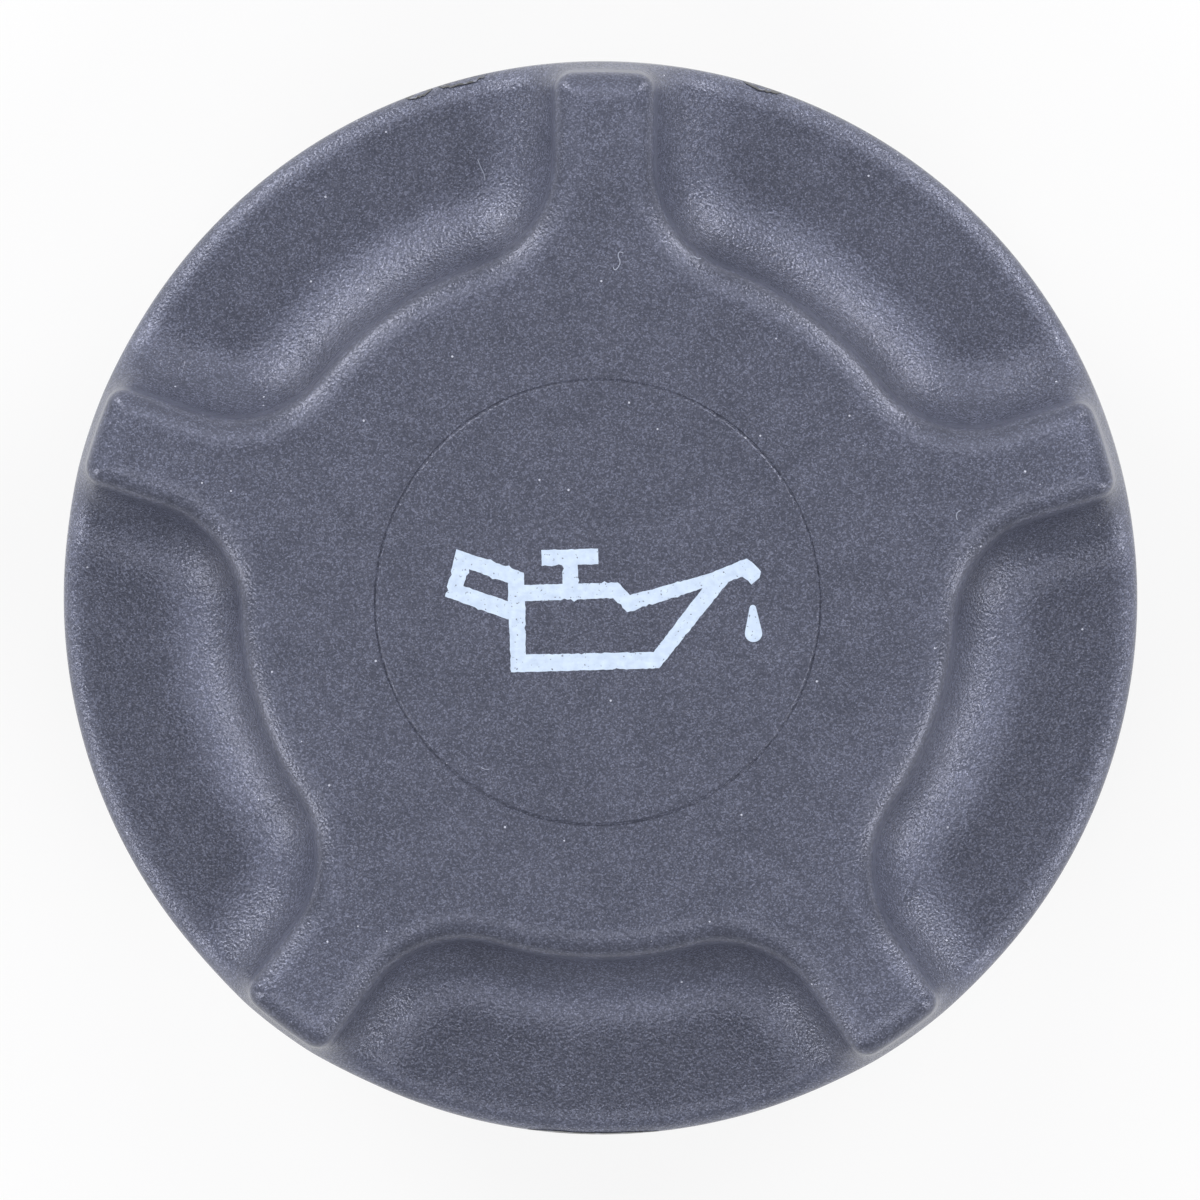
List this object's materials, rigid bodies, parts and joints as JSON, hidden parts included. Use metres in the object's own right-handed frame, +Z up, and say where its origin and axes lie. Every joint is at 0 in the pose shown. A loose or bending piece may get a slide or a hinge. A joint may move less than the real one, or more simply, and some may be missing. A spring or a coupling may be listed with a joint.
{
  "type": "oil filler cap",
  "caption": "Moulded plastic oil filler cap with a star grip and finger recesses, over a bayonet plug with a rubber face seal.",
  "frame": {"origin": "on the cap's axis, at the level of the plug's lower end, which the cap stands on", "axes": "+Z up the axis towards the flat top of the knob, +Y along one spoke of the star grip"},
  "size_m": [0.066, 0.066, 0.031],
  "materials": {
    "knob": "fine spark-eroded grain on a blue-grey glass-filled nylon",
    "plug": "smooth satin black glass-filled nylon",
    "seal": "matt black moulded rubber"
  },
  "bodies": {
    "root": {"knob": "knob", "bayonet_plug": "plug", "seal_ring": "seal"}
  },
  "joints": []
}
